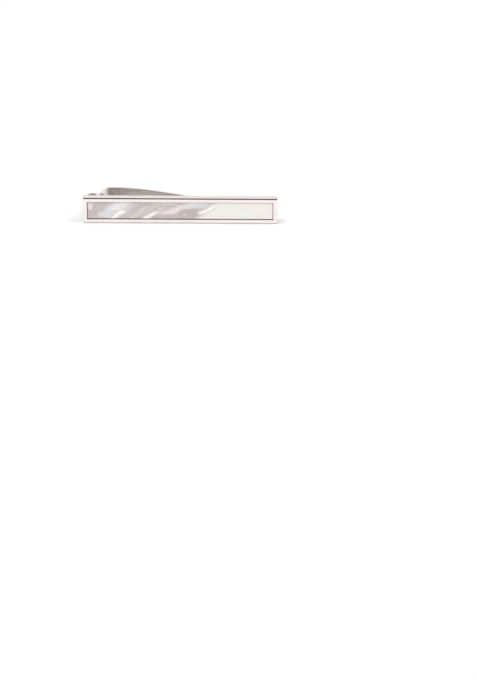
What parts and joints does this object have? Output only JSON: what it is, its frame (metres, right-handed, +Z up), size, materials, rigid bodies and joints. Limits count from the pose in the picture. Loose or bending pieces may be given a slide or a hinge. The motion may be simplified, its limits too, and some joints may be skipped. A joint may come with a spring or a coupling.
{
  "type": "tie bar",
  "caption": "Rectangular polished tie bar with a framed mother-of-pearl inlay and a sprung alligator clasp hinged on its back.",
  "frame": {"origin": "middle of the bounding box's bottom, below the bar's long lower edge", "axes": "+X along the bar from the hinge end to the open end; -Y out of the decorated face; +Z up across the bar's height"},
  "size_m": [0.054, 0.0102, 0.0075],
  "materials": {
    "polished_plate": "mirror polished rhodium plate over brass",
    "satin_plate": "lightly brushed rhodium plate over brass",
    "steel": "bright drawn wire",
    "epoxy": "dark satin adhesive",
    "pearl": "polished mother-of-pearl slab"
  },
  "bodies": {
    "bar": {"bar_shell": "polished_plate", "inlay_bed": "epoxy", "pearl_inlay": "pearl", "back_plate": "satin_plate", "clasp_base": "satin_plate", "hinge_pin": "steel", "torsion_spring": "steel"},
    "jaw": {"clasp_arm": "polished_plate"}
  },
  "joints": [
    {"name": "clasp_hinge", "type": "hinge", "parent": "bar", "child": "jaw", "pos_m": [-0.0218, -0.0009, 0.00375], "axis": [0, 0, 1], "range_deg": [0, 30], "stiffness_Nm_per_rad": 0.05, "springref_deg": -34.38, "deforming": ["torsion_spring"]}
  ]
}
